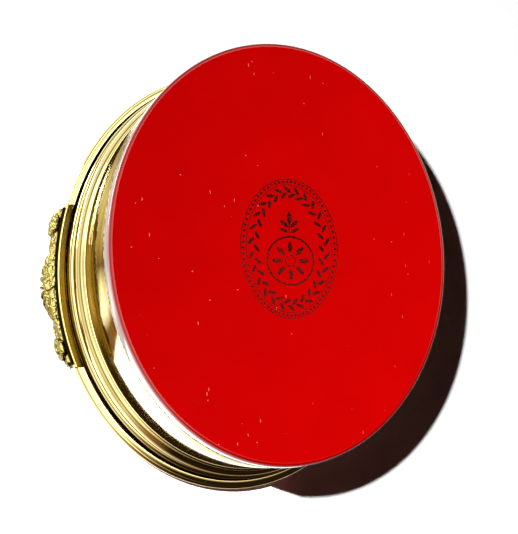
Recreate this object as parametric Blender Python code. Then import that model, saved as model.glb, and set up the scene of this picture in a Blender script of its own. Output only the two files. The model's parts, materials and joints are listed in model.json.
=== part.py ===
"""Oval enamel pill box with a hinged, domed lid in gilt brass mounts.

The box stands on its enamelled base at z = 0, long axis along X. The thumbpiece is
at the front (-Y) and the hinge at the back (+Y). Sizes are in millimetres and are
turned into metres where a mesh is made. Most pieces are rings or shells that follow
one oval plan, so they are given as points (offset, z): offset is the distance
outwards from the oval of the base's coloured face.
"""

import math

import bmesh
import bpy
from mathutils import Vector

MM = 0.001

# The oval plan, at the rim of the base's coloured face.
HALF_LENGTH = 22.0
HALF_WIDTH = 18.05
OVAL_SEGMENTS = 52

# Clearances.
SEAT_GAP = 0.05  # between pieces that seat on each other
LID_GAP = 0.3  # parting line, between the two mounts
TONGUE_CLEARANCE = 0.3  # round the tongue, and over it
BORE_CLEARANCE = 0.05  # hinge pin in its knuckles
KNUCKLE_GAP = 0.12  # between neighbouring knuckles

# Base tray: coloured enamel outside, copper, white enamel inside.
TRAY_OVERHANG = 0.25
TRAY_HEIGHT = 2.2
TRAY_EDGE_RADIUS = 0.8
FLANGE_HEIGHT = 2.2
OUTER_ENAMEL = 0.5
COPPER = 0.35
INNER_ENAMEL = 0.35
TRAY_INNER_RADIUS = 0.6

# Wall band.
WALL_HEIGHT = 11.8
WALL_THICKNESS = 0.5
WALL_FOOT_OFFSET = 0.2
WALL_TOP_OFFSET = -0.35

# Base mount: a foot bead, a broad bead and a narrow bead, one above the other.
FOOT_BEAD_HEIGHT = 0.75
FOOT_BEAD_BULGE = 0.22
BROAD_BEAD_HEIGHT = 2.4
BROAD_BEAD_BULGE = 0.42
NARROW_BEAD_HEIGHT = 1.15
NARROW_BEAD_BULGE = 0.42
MOUNT_GROOVE = 0.18
MOUNT_TOP_OFFSET = 0.18

# Tongue that the lid closes over, and its catch.
SLEEVE_DEPTH = 3.0
TONGUE_THICKNESS = 0.45
CATCH_LENGTH = 4.0
CATCH_HEIGHT = 0.5
CATCH_REACH = 0.15
CATCH_STATIONS = 4

# Lid mount.
LID_BAND_HEIGHT = 1.6
LID_BAND_THICKNESS = 0.85
LID_RIM_REACH = 1.55
LID_GROOVE_DISTANCE = 0.2
LID_GROOVE_WIDTH = 0.2
LID_BEAD_HEIGHT = 1.65
LID_NECK_OFFSET = 1.15
LID_UPPER_BEAD_HEIGHT = 0.85
LID_UPPER_BEAD_BULGE = 0.22
LID_LIP_REACH = 0.45
LID_LIP_THICKNESS = 0.3

# Lid plaque.
DOME_RISE = 3.7
DOME_POWER = 2.1
DOME_RINGS = (0.84, 0.64, 0.42, 0.2)

# Thumbpiece, on the front of the lid mount.
THUMB_PLACE = -1.0  # soldered on by hand, a little off the middle
THUMB_HALF_LENGTH = 9.0
THUMB_HEIGHT = 3.0
THUMB_THICKNESS = 0.85
RECESS_OFFSET = 0.75
THUMB_STATIONS = 12
ORNAMENT_STATIONS = 24
ORNAMENT_REACH = 1.55
ORNAMENT_WAIST_REACH = 0.45
SHELL_HALF_LENGTH = 4.7
SCROLL_PLACE = 6.95
SCROLL_HALF_LENGTH = 2.1
SCROLL_REACH = 1.05

# Hinge, at the back.
KNUCKLES = 5
HINGE_LENGTH = 12.0
KNUCKLE_RADIUS = 0.95
PIN_RADIUS = 0.4
PIN_HEAD_RADIUS = 0.62
PIN_HEAD_LENGTH = 0.25
PLATE_DROP = 2.6
PLATE_RISE = 2.4
PLATE_TAPER = 0.8
ROUND_SEGMENTS = 16
TROUGH_SEGMENTS = 24

# Heights, from the base up.
wall_low = TRAY_HEIGHT + SEAT_GAP
wall_high = wall_low + WALL_HEIGHT
mount_low = wall_high + SEAT_GAP
mount_high = (
    mount_low + FOOT_BEAD_HEIGHT + BROAD_BEAD_HEIGHT + NARROW_BEAD_HEIGHT + 3 * MOUNT_GROOVE
)
lid_low = mount_high + LID_GAP
band_high = lid_low + LID_BAND_HEIGHT
inner_low = band_high + SEAT_GAP
copper_low = inner_low + INNER_ENAMEL + SEAT_GAP
outer_low = copper_low + COPPER + SEAT_GAP
plaque_edge_high = outer_low + OUTER_ENAMEL
tongue_high = inner_low - TONGUE_CLEARANCE

# Offsets shared by pieces that fit together.
sleeve_offset = WALL_TOP_OFFSET - WALL_THICKNESS - SEAT_GAP
band_inner_offset = sleeve_offset + TONGUE_CLEARANCE
band_outer_offset = band_inner_offset + LID_BAND_THICKNESS
lid_bore_offset = band_outer_offset + SEAT_GAP
plate_offset = RECESS_OFFSET + SEAT_GAP
ornament_offset = plate_offset + THUMB_THICKNESS + SEAT_GAP
thumb_reach = ornament_offset + ORNAMENT_REACH

# The hinge stands out as far at the back as the thumbpiece does at the front.
hinge_y = HALF_WIDTH + thumb_reach - KNUCKLE_RADIUS
hinge_z = (mount_high + lid_low) / 2


def clear_scene():
    for old in list(bpy.data.objects):
        bpy.data.objects.remove(old, do_unlink=True)


def make_material(name, colour, roughness, metallic):
    material = bpy.data.materials.new(name)
    material.use_nodes = True
    shader = material.node_tree.nodes["Principled BSDF"]
    shader.inputs["Base Color"].default_value = (*colour, 1.0)
    shader.inputs["Roughness"].default_value = roughness
    shader.inputs["Metallic"].default_value = metallic
    material.diffuse_color = (*colour, 1.0)
    return material


def finish_piece(name, bm, material, parent=None, smooth_angle=35.0):
    """Turns a mesh in millimetres, in the box's own frame, into a named piece."""
    bmesh.ops.recalc_face_normals(bm, faces=bm.faces)
    bmesh.ops.scale(bm, vec=Vector((MM, MM, MM)), verts=bm.verts)
    if parent is not None:
        bmesh.ops.translate(bm, vec=-parent.location, verts=bm.verts)
    mesh = bpy.data.meshes.new(name)
    bm.to_mesh(mesh)
    bm.free()
    mesh.shade_smooth()
    mesh.set_sharp_from_angle(angle=math.radians(smooth_angle))
    mesh.materials.append(material)
    piece = bpy.data.objects.new(name, mesh)
    bpy.context.scene.collection.objects.link(piece)
    piece.parent = parent
    return piece


def cut(piece, cutter):
    """Subtracts a hidden helper from a piece with a live Boolean."""
    cutter.hide_render = True
    cutter.display_type = "WIRE"
    boolean = piece.modifiers.new("Cut " + cutter.name, "BOOLEAN")
    boolean.operation = "DIFFERENCE"
    boolean.solver = "EXACT"
    boolean.object = cutter


def oval(offset, z, share=1.0):
    """One ring of points round the plan; a share below 1 shrinks it towards the centre."""
    half_x = share * (HALF_LENGTH + offset)
    half_y = share * (HALF_WIDTH + offset)
    turns = (2 * math.pi * i / OVAL_SEGMENTS for i in range(OVAL_SEGMENTS))
    return [Vector((half_x * math.cos(t), half_y * math.sin(t), z)) for t in turns]


def front_y(x, offset):
    """How far from the long axis the plan's outline is at x."""
    return (HALF_WIDTH + offset) * math.sqrt(1 - (x / (HALF_LENGTH + offset)) ** 2)


def bridge(bm, first, second):
    for i in range(len(first)):
        j = (i + 1) % len(first)
        bm.faces.new((first[i], first[j], second[j], second[i]))


def fan(bm, ring, tip):
    for i in range(len(ring)):
        bm.faces.new((ring[i], ring[(i + 1) % len(ring)], tip))


def skin(rings, loop):
    """A solid through rings of points: a closed loop of them, or a stack with closed ends.

    A first or last ring of a single point closes the stack with a fan of triangles.
    """
    bm = bmesh.new()
    made = [[bm.verts.new(point) for point in ring] for ring in rings]
    for first, second in zip(made, made[1:]):
        if len(first) == 1:
            fan(bm, second, first[0])
        elif len(second) == 1:
            fan(bm, first, second[0])
        else:
            bridge(bm, first, second)
    if loop:
        bridge(bm, made[-1], made[0])
        return bm
    for ring in (made[0], made[-1]):
        if len(ring) > 1:
            bm.faces.new(ring)
    return bm


def arc(centre, radius, start, end, steps):
    """Points (offset, z) on an arc, angles in degrees from +offset towards +z."""
    angles = (math.radians(start + (end - start) * i / steps) for i in range(steps + 1))
    return [
        (centre[0] + radius * math.cos(a), centre[1] + radius * math.sin(a)) for a in angles
    ]


def bead(low, high, bulge, steps=4):
    """A bulging moulding between two points (offset, z), both ends included."""
    points = []
    for i in range(steps + 1):
        share = i / steps
        rise = low[1] + (high[1] - low[1]) * (1 - math.cos(math.pi * share)) / 2
        out = low[0] + (high[0] - low[0]) * share + bulge * math.sin(math.pi * share)
        points.append((out, rise))
    return points


def ring_piece(name, profile, material, parent=None):
    """A closed profile swept round the plan."""
    rings = [oval(offset, z) for offset, z in profile]
    return finish_piece(name, skin(rings, loop=True), material, parent)


def tray_piece(name, profile, material):
    """A tray: its profile runs from the underside, over the rim, to the floor."""
    rings = [oval(offset, z) for offset, z in profile]
    return finish_piece(name, skin(rings, loop=False), material)


def turned_piece(name, profile, loop, material, parent=None, segments=ROUND_SEGMENTS):
    """A profile of points (x, radius) turned about the hinge's axis."""
    rings = []
    for x, radius in profile:
        turns = (2 * math.pi * (i + 0.5) / segments for i in range(segments))
        rings.append(
            [
                Vector((x, hinge_y + radius * math.cos(t), hinge_z + radius * math.sin(t)))
                for t in turns
            ]
        )
    return finish_piece(name, skin(rings, loop), material, parent)


def wall_offset(z):
    """The wall band's outer offset at a height."""
    share = (z - wall_low) / WALL_HEIGHT
    return WALL_FOOT_OFFSET + (WALL_TOP_OFFSET - WALL_FOOT_OFFSET) * share


def tray_profile(outer_offset, floor, thickness, rim, radius):
    """A tray with a flat floor and a rounded corner, the same thickness all over."""
    inner_offset = outer_offset - thickness
    inner_radius = max(radius - thickness, 0.15)
    outside = arc((outer_offset - radius, floor + radius), radius, -90, 0, 5)
    inside = arc(
        (inner_offset - inner_radius, floor + thickness + inner_radius),
        inner_radius,
        0,
        -90,
        3,
    )
    return outside + [(outer_offset, rim), (inner_offset, rim)] + inside


def make_base_tray(red, white, copper):
    flange_high = wall_low + FLANGE_HEIGHT
    copper_floor = OUTER_ENAMEL + SEAT_GAP
    inner_floor = copper_floor + COPPER + SEAT_GAP
    copper_offset = (
        min(wall_offset(flange_high) - WALL_THICKNESS, TRAY_OVERHANG - OUTER_ENAMEL) - SEAT_GAP
    )
    inner_offset = copper_offset - COPPER - SEAT_GAP
    tray_piece(
        "base_outer_enamel",
        tray_profile(TRAY_OVERHANG, 0.0, OUTER_ENAMEL, TRAY_HEIGHT, TRAY_EDGE_RADIUS),
        red,
    )
    tray_piece(
        "base_copper_blank",
        tray_profile(copper_offset, copper_floor, COPPER, flange_high, TRAY_INNER_RADIUS),
        copper,
    )
    tray_piece(
        "base_inner_enamel",
        tray_profile(inner_offset, inner_floor, INNER_ENAMEL, flange_high, TRAY_INNER_RADIUS),
        white,
    )


def make_wall(gilt):
    outside = [(WALL_FOOT_OFFSET, wall_low), (WALL_TOP_OFFSET, wall_high)]
    inside = [(offset - WALL_THICKNESS, z) for offset, z in reversed(outside)]
    ring_piece("body_wall", outside + inside, gilt)


def make_base_mount(gilt):
    bore_offset = WALL_TOP_OFFSET - WALL_THICKNESS
    foot_high = mount_low + FOOT_BEAD_HEIGHT
    broad_low = foot_high + MOUNT_GROOVE
    broad_high = broad_low + BROAD_BEAD_HEIGHT
    narrow_low = broad_high + MOUNT_GROOVE
    narrow_high = narrow_low + NARROW_BEAD_HEIGHT
    profile = [(bore_offset, mount_low)]
    profile += bead(
        (WALL_TOP_OFFSET, mount_low), (WALL_TOP_OFFSET, foot_high), FOOT_BEAD_BULGE, 3
    )
    profile += bead(
        (WALL_TOP_OFFSET, broad_low), (MOUNT_TOP_OFFSET, broad_high), BROAD_BEAD_BULGE, 5
    )
    profile += bead(
        (MOUNT_TOP_OFFSET, narrow_low), (MOUNT_TOP_OFFSET, narrow_high), NARROW_BEAD_BULGE, 4
    )
    profile += [(MOUNT_TOP_OFFSET, mount_high), (bore_offset, mount_high)]
    ring_piece("base_mount", profile, gilt)


def make_tongue(gilt):
    inner_offset = sleeve_offset - TONGUE_THICKNESS
    low = wall_high - SLEEVE_DEPTH
    profile = [
        (sleeve_offset, low),
        (sleeve_offset, tongue_high),
        (inner_offset, tongue_high),
        (inner_offset, low),
    ]
    ring_piece("bezel_tongue", profile, gilt)


def stations_along(place, half_length, stations):
    """Evenly spaced x from one end of a piece to the other."""
    return [place + half_length * (2 * i / stations - 1) for i in range(stations + 1)]


def front_strip(place, half_length, stations, section):
    """A solid along the front of the box: section(x) gives its outline, points (offset, z).

    That x is counted from the strip's own middle.
    """
    rings = []
    for x in stations_along(place, half_length, stations):
        rings.append([Vector((x, -front_y(x, offset), z)) for offset, z in section(x - place)])
    return skin(rings, loop=False)


def make_catch(gilt):
    """A low bar on the front of the tongue, which the lid's band snaps over."""
    middle = (mount_high + tongue_high) / 2
    inner = sleeve_offset + SEAT_GAP
    outer = inner + CATCH_REACH

    def section(x):
        return [
            (inner, middle - CATCH_HEIGHT / 2),
            (outer, middle - CATCH_HEIGHT / 5),
            (outer, middle + CATCH_HEIGHT / 5),
            (inner, middle + CATCH_HEIGHT / 2),
        ]

    finish_piece("catch_bar", front_strip(0.0, CATCH_LENGTH / 2, CATCH_STATIONS, section), gilt)


def dome_z(edge_z, share):
    """Height of a domed surface at a share of the way from its centre to its edge."""
    return edge_z + DOME_RISE * (1 - share**DOME_POWER)


def dome_piece(name, low, thickness, material, parent):
    """A domed shell of even thickness, with its edge inside the lid mount."""
    edge = lid_bore_offset - SEAT_GAP
    shares = (1.0, *DOME_RINGS)
    rings = [[Vector((0, 0, dome_z(low, 0)))]]
    rings += [oval(edge, dome_z(low, share), share) for share in reversed(shares)]
    rings += [oval(edge, dome_z(low + thickness, share), share) for share in shares]
    rings.append([Vector((0, 0, dome_z(low + thickness, 0)))])
    return finish_piece(name, skin(rings, loop=False), material, parent)


def make_lid_plaque(white, red, copper, lid):
    dome_piece("lid_inner_enamel", inner_low, INNER_ENAMEL, white, lid)
    dome_piece("lid_copper_blank", copper_low, COPPER, copper, lid)
    dome_piece("lid_outer_enamel", outer_low, OUTER_ENAMEL, red, lid)


def make_lid_mount(gilt, lid):
    """The ring that holds the plaque. Its lip stays just clear of the dome."""
    edge = lid_bore_offset - SEAT_GAP
    lip_offset = edge - LID_LIP_REACH
    lip_share = (HALF_WIDTH + lip_offset) / (HALF_WIDTH + edge)
    lip_low = dome_z(plaque_edge_high, lip_share) + SEAT_GAP
    lip_high = lip_low + LID_LIP_THICKNESS
    seat_high = plaque_edge_high + SEAT_GAP
    groove = lid_bore_offset + LID_GROOVE_DISTANCE
    bead_low = (groove + LID_GROOVE_WIDTH, lid_low)
    neck_low = (LID_NECK_OFFSET, lid_low + LID_BEAD_HEIGHT)
    neck_high = (LID_NECK_OFFSET, neck_low[1] + LID_UPPER_BEAD_HEIGHT)
    middle = (bead_low[0] + neck_low[0]) / 2
    profile = [
        (lid_bore_offset, lid_low),
        (groove, lid_low),
        (groove + LID_GROOVE_WIDTH / 2, lid_low + LID_GROOVE_WIDTH),
    ]
    profile += bead(bead_low, neck_low, LID_RIM_REACH - middle, 6)
    profile += bead(neck_low, neck_high, LID_UPPER_BEAD_BULGE, 4)[1:]
    profile += [
        (edge, lip_high - LID_LIP_THICKNESS / 3),
        (lip_offset + LID_LIP_THICKNESS / 2, lip_high),
        (lip_offset, lip_low + LID_LIP_THICKNESS / 2),
        (lip_offset, lip_low),
        (lid_bore_offset, seat_high),
    ]
    mount = ring_piece("lid_mount", profile, gilt, lid)
    thumb = recess_cutter("thumbpiece_recess", THUMB_PLACE, THUMB_HALF_LENGTH, -1, gilt, lid)
    hinge = recess_cutter("hinge_recess", 0.0, HINGE_LENGTH / 2, 1, gilt, lid)
    cut(mount, thumb)
    cut(mount, hinge)


def recess_cutter(name, place, half_length, side, material, lid):
    """The room for a plate that lies against the lid mount, following the plan."""
    reach = RECESS_OFFSET + 3 * LID_RIM_REACH
    low = lid_low - LID_GAP
    high = lid_low + 2 * THUMB_HEIGHT
    rings = []
    for x in stations_along(place, half_length + SEAT_GAP, THUMB_STATIONS):
        near = side * front_y(x, RECESS_OFFSET)
        far = side * front_y(x, reach)
        outline = ((near, low), (far, low), (far, high), (near, high))
        rings.append([Vector((x, y, z)) for y, z in outline])
    return finish_piece(name, skin(rings, loop=False), material, lid)


def make_lid_band(gilt, lid):
    profile = [
        (band_inner_offset, lid_low),
        (band_outer_offset, lid_low),
        (band_outer_offset, band_high),
        (band_inner_offset, band_high),
    ]
    ring_piece("lid_retaining_band", profile, gilt, lid)


def hump(x, place, half_length):
    """A round hump: 1 at its place, 0 from half_length away."""
    return math.sqrt(max(0.0, 1 - ((x - place) / half_length) ** 2))


def make_thumbpiece(gilt, lid):
    plate_outer = plate_offset + THUMB_THICKNESS
    thumb_high = lid_low + THUMB_HEIGHT
    corner = THUMB_THICKNESS / 3

    def plate_section(x):
        return [
            (plate_offset, lid_low),
            (plate_outer, lid_low),
            (plate_outer, thumb_high - corner),
            (plate_outer - corner, thumb_high),
            (plate_offset, thumb_high),
        ]

    strip = front_strip(THUMB_PLACE, THUMB_HALF_LENGTH, THUMB_STATIONS, plate_section)
    finish_piece("thumbpiece_plate", strip, gilt, lid)

    middle = lid_low + THUMB_HEIGHT / 2

    def ornament_section(x):
        shell = hump(x, 0.0, SHELL_HALF_LENGTH)
        scroll = hump(abs(x), SCROLL_PLACE, SCROLL_HALF_LENGTH)
        reach = max(ORNAMENT_WAIST_REACH, ORNAMENT_REACH * shell, SCROLL_REACH * scroll)
        half = THUMB_HEIGHT * (0.3 + 0.18 * max(shell, scroll))
        shoulder = ornament_offset + 0.55 * reach
        outer = ornament_offset + reach
        return [
            (ornament_offset, middle - half),
            (shoulder, middle - half),
            (outer, middle - 0.5 * half),
            (outer, middle + 0.5 * half),
            (shoulder, middle + half),
            (ornament_offset, middle + half),
        ]

    strip = front_strip(THUMB_PLACE, THUMB_HALF_LENGTH, ORNAMENT_STATIONS, ornament_section)
    finish_piece("thumbpiece_ornament", strip, gilt, lid)


def hinge_plate(name, offset, back, material, parent=None):
    """A plate behind the box: its front follows the plan, its back has points (y, z)."""
    rings = []
    for x in stations_along(0.0, HINGE_LENGTH / 2, THUMB_STATIONS):
        near = front_y(x, offset)
        outline = [(near, back[0][1]), *back, (near, back[-1][1])]
        rings.append([Vector((x, y, z)) for y, z in outline])
    plate = finish_piece(name, skin(rings, loop=False), material, parent)
    radius = KNUCKLE_RADIUS + SEAT_GAP
    cylinder = [(-HINGE_LENGTH, radius), (HINGE_LENGTH, radius)]
    cut(plate, turned_piece(name + "_trough", cylinder, False, material, parent, TROUGH_SEGMENTS))


def make_hinge(gilt, steel, lid):
    bead_reach = MOUNT_TOP_OFFSET + NARROW_BEAD_BULGE
    back = hinge_y + KNUCKLE_RADIUS / 2
    thin = back - PLATE_TAPER
    low = mount_high - PLATE_DROP
    high = lid_low + PLATE_RISE
    base_back = [(thin, low), (back, low + PLATE_DROP / 2), (back, mount_high)]
    lid_back = [(back, lid_low), (back, high - PLATE_RISE / 2), (thin, high)]
    hinge_plate("base_hinge_plate", bead_reach + SEAT_GAP, base_back, gilt)
    hinge_plate("lid_hinge_plate", plate_offset, lid_back, gilt, lid)
    pitch = (HINGE_LENGTH + KNUCKLE_GAP) / KNUCKLES
    bore = PIN_RADIUS + BORE_CLEARANCE
    for i in range(KNUCKLES):
        start = -HINGE_LENGTH / 2 + i * pitch
        end = start + pitch - KNUCKLE_GAP
        profile = [(start, bore), (start, KNUCKLE_RADIUS), (end, KNUCKLE_RADIUS), (end, bore)]
        owner, parent = ("lid", lid) if i % 2 else ("base", None)
        turned_piece(f"{owner}_knuckle_{i + 1}", profile, True, gilt, parent)
    end = HINGE_LENGTH / 2 + SEAT_GAP
    head = end + PIN_HEAD_LENGTH
    pin = [
        (-head, PIN_HEAD_RADIUS / 2),
        (-end - PIN_HEAD_LENGTH / 2, PIN_HEAD_RADIUS),
        (-end, PIN_HEAD_RADIUS),
        (-end, PIN_RADIUS),
        (end, PIN_RADIUS),
        (end, PIN_HEAD_RADIUS),
        (end + PIN_HEAD_LENGTH / 2, PIN_HEAD_RADIUS),
        (head, PIN_HEAD_RADIUS / 2),
    ]
    turned_piece("hinge_pin", pin, False, steel)


def make_lid_pivot():
    """The lid's pieces hang on this empty, which lies on the hinge's axis."""
    pivot = bpy.data.objects.new("lid_pivot", None)
    pivot.empty_display_size = 5 * MM
    pivot.location = Vector((0.0, hinge_y, hinge_z)) * MM
    bpy.context.scene.collection.objects.link(pivot)
    return pivot


def main():
    clear_scene()
    gilt = make_material("gilt_brass", (0.86, 0.66, 0.27), 0.16, 1.0)
    steel = make_material("pin_brass", (0.72, 0.56, 0.27), 0.3, 1.0)
    red = make_material("red_enamel", (0.6, 0.0, 0.004), 0.12, 0.0)
    white = make_material("white_enamel", (0.87, 0.86, 0.83), 0.12, 0.0)
    copper = make_material("copper", (0.7, 0.33, 0.2), 0.4, 1.0)

    lid = make_lid_pivot()
    make_base_tray(red, white, copper)
    make_wall(gilt)
    make_base_mount(gilt)
    make_tongue(gilt)
    make_catch(gilt)
    make_lid_mount(gilt, lid)
    make_lid_band(gilt, lid)
    make_lid_plaque(white, red, copper, lid)
    make_thumbpiece(gilt, lid)
    make_hinge(gilt, steel, lid)


main()
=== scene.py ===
# %% [markdown]
# # An oval enamel pill box in gilt brass mounts
# The box has a red enamelled tray for a base, a polished gilt wall, a beaded base
# mount, and a domed enamel lid held in a gilt rim. A cast thumbpiece is soldered on
# the front of the rim, and a five-knuckle hinge joins lid and base at the back.
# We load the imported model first, because the main sizes below are read from it.

# %% Load the frame
import json
import math

import bmesh
import bpy
from mathutils import Matrix, Vector


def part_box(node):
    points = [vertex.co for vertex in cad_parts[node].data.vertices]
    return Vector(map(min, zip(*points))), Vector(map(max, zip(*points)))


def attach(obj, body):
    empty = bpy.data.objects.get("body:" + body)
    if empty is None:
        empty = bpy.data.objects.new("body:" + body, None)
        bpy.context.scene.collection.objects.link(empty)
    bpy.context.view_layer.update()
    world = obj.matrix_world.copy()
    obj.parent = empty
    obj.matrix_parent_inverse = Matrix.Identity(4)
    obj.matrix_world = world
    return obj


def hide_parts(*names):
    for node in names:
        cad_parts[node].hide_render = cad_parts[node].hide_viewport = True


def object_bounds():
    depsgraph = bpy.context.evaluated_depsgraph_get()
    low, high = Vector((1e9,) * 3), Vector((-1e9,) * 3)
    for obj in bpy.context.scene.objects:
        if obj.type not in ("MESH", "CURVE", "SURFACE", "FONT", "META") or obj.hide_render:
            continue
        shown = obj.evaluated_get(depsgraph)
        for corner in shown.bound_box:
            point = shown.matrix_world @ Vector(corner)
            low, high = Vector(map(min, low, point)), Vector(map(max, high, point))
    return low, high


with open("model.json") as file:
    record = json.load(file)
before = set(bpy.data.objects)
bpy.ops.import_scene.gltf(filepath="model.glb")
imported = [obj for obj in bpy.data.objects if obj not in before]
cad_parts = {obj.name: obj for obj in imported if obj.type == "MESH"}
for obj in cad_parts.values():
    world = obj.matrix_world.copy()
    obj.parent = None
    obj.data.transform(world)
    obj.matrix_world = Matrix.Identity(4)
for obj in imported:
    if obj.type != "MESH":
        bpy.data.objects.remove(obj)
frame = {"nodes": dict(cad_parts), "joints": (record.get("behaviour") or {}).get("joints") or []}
cad_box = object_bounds()
bpy.ops.object.select_all(action="DESELECT")
MM = 0.001
print("nodes in the frame:", len(frame["nodes"]))

# %% [markdown]
# The plan is one oval, and each ring of the box is that oval grown or shrunk by an
# even amount. The enamelled tray stands a quarter of a millimetre proud of it. So
# the half sizes come from the tray's box, and the heights from the other nodes.

# %% Sizes from the frame
TRAY_PROUD = 0.25 * MM
tray_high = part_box("base_outer_enamel")[1]
half_length = tray_high.x - TRAY_PROUD
half_width = tray_high.y - TRAY_PROUD
hinge_place = Vector(frame["joints"][0]["pos_m"])
print("half length and width, mm:", round(half_length / MM, 2), round(half_width / MM, 2))


def heights(node):
    """The heights of a node's lowest and highest points."""
    return [end.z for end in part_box(node)]


def outwards(node):
    """How far a node reaches past the plan, at the ends of the box."""
    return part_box(node)[1].x - half_length


wall_low, wall_high = heights("body_wall")
mount_low, mount_high = heights("base_mount")
rim_low = heights("lid_mount")[0]
tongue_low, tongue_high = heights("bezel_tongue")


# %% [markdown]
# ## Camera
# The box is seen from under its base, as if it lay on its lid: the camera looks up
# at the tray, a little from the front, with the long axis nearly upright. A long
# lens keeps the oval calm.

# %% Camera
CAMERA_PLACE = Vector((-31.78, -62.61, -194.32)) * MM
CAMERA_TURN = (8.964, 163.068, -88.161)
LONG_LENS = 134.45
camera = bpy.data.objects.new("camera", bpy.data.cameras.new("camera"))
camera.location = CAMERA_PLACE
camera.rotation_euler = [math.radians(turn) for turn in CAMERA_TURN]
camera.data.lens = LONG_LENS
camera.data.sensor_width = 36.0
camera.data.clip_start = 0.01
camera.data.clip_end = 20.0
bpy.context.scene.collection.objects.link(camera)
bpy.context.scene.camera = camera
bpy.context.scene.view_settings.view_transform = "Standard"
print("camera distance, mm:", round(CAMERA_PLACE.length / MM))

# %% [markdown]
# ## Node helpers
# Materials here are small node trees. `add_node` makes a node and sets its values,
# and `join` connects two sockets. `place_nodes` gives the Object coordinates, in
# metres, stretched or turned as a pattern needs.


# %% Node helpers
def add_node(tree, kind, **values):
    node = tree.nodes.new(kind)
    for key, value in values.items():
        setattr(node, key, value)
    return node


def join(tree, source, target):
    tree.links.new(source, target)
    return target


def place_nodes(tree, scale=(1, 1, 1), turn=(0, 0, 0)):
    """Object coordinates through a Mapping node."""
    coordinates = add_node(tree, "ShaderNodeTexCoord")
    mapping = add_node(tree, "ShaderNodeMapping")
    mapping.inputs["Scale"].default_value = scale
    mapping.inputs["Rotation"].default_value = [math.radians(angle) for angle in turn]
    join(tree, coordinates.outputs["Object"], mapping.inputs["Vector"])
    return mapping.outputs["Vector"]


def noise(tree, place, scale, detail=3.0, roughness=0.5):
    node = add_node(tree, "ShaderNodeTexNoise")
    node.inputs["Scale"].default_value = scale
    node.inputs["Detail"].default_value = detail
    node.inputs["Roughness"].default_value = roughness
    join(tree, place, node.inputs["Vector"])
    return node.outputs["Fac"]


def ramp(tree, value, stops):
    """A colour or grey ramp: stops are (place, colour)."""
    node = add_node(tree, "ShaderNodeValToRGB")
    elements = node.color_ramp.elements
    while len(elements) < len(stops):
        elements.new(0.5)
    for element, (spot, colour) in zip(elements, stops):
        element.position = spot
        element.color = (*colour, 1) if isinstance(colour, tuple) else (colour, colour, colour, 1)
    join(tree, value, node.inputs["Fac"])
    return node.outputs["Color"]


def calculate(tree, operation, first, second=None, third=None):
    node = add_node(tree, "ShaderNodeMath", operation=operation)
    for socket, value in zip(node.inputs, (first, second, third)):
        if isinstance(value, (int, float)):
            socket.default_value = value
        elif value is not None:
            join(tree, value, socket)
    return node.outputs["Value"]


def blend_colours(tree, share, first, second, how="MIX"):
    """Mixes two colours; a Mix node's colour sockets are its inputs 6 and 7."""
    node = add_node(tree, "ShaderNodeMix", data_type="RGBA", blend_type=how)
    for socket, value in zip([node.inputs[i] for i in (0, 6, 7)], (share, first, second)):
        if isinstance(value, tuple):
            socket.default_value = (*value, 1)
        elif isinstance(value, (int, float)):
            socket.default_value = value
        else:
            join(tree, value, socket)
    return node.outputs[2]


def start_material(name):
    material = bpy.data.materials.new(name)
    material.use_nodes = True
    return material, material.node_tree, material.node_tree.nodes["Principled BSDF"]


def bump(tree, shader, height, depth, strength=1.0):
    node = add_node(tree, "ShaderNodeBump")
    node.inputs["Strength"].default_value = strength
    node.inputs["Distance"].default_value = depth
    join(tree, height, node.inputs["Height"])
    join(tree, node.outputs["Normal"], shader.inputs["Normal"])


# %% [markdown]
# ## Stage and light
# The floor is pale and lies under the box. Seen from below it lets the eye through,
# so that the base can be looked at, and only the camera sees it at all. A pale card
# hangs above the box, facing down: it stands for the sheet of paper that the box
# lies on when its base is looked at, and it catches the shadow. Most of it is high
# enough to clear the open lid. Beside one end of the box it comes down in steps, to
# touch the closed lid, because a shadow starts where an object touches the paper.
# Seen from the side, the cards would be bars in the air, so they fade out there.

# %% Floor and card
FLAT = (0, 0, 0)
FACE_DOWN = (math.pi, 0, 0)
NEVER = 2.0
HALF_TURNED = 0.5


def paper(name, colour, fades_at):
    """Pale paper with a faint fibre, which shows on one side only.

    It is clear where it is turned away by more than fades_at: 0 is square on, 1 edge on.
    """
    material, tree, shader = start_material(name)
    fibre = noise(tree, place_nodes(tree), 2500, 4)
    shade = ramp(tree, fibre, [(0.3, tuple(0.97 * part for part in colour)), (0.7, colour)])
    join(tree, shade, shader.inputs["Base Color"])
    shader.inputs["Roughness"].default_value = 0.9
    shader.inputs["Specular IOR Level"].default_value = 0.0
    clear = add_node(tree, "ShaderNodeBsdfTransparent")
    side = add_node(tree, "ShaderNodeNewGeometry")
    tilt = add_node(tree, "ShaderNodeLayerWeight")
    edge_on = calculate(tree, "GREATER_THAN", tilt.outputs["Facing"], fades_at)
    mix = add_node(tree, "ShaderNodeMixShader")
    join(tree, calculate(tree, "MAXIMUM", side.outputs["Backfacing"], edge_on), mix.inputs["Fac"])
    join(tree, shader.outputs["BSDF"], mix.inputs[1])
    join(tree, clear.outputs["BSDF"], mix.inputs[2])
    join(tree, mix.outputs["Shader"], tree.nodes["Material Output"].inputs["Surface"])
    return material


def stage_plane(name, size, place, turn, material, seen_by, wide=1.0):
    """A flat stage piece. seen_by names the kind of ray that meets it."""
    bpy.ops.mesh.primitive_plane_add(size=size, location=place, rotation=turn)
    plane = bpy.context.object
    plane.scale.y = wide
    plane.name = name
    plane.data.materials.append(material)
    for kind in ("camera", "diffuse", "glossy", "transmission", "volume_scatter", "shadow"):
        setattr(plane, "visible_" + kind, kind == seen_by)
    return plane


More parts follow.
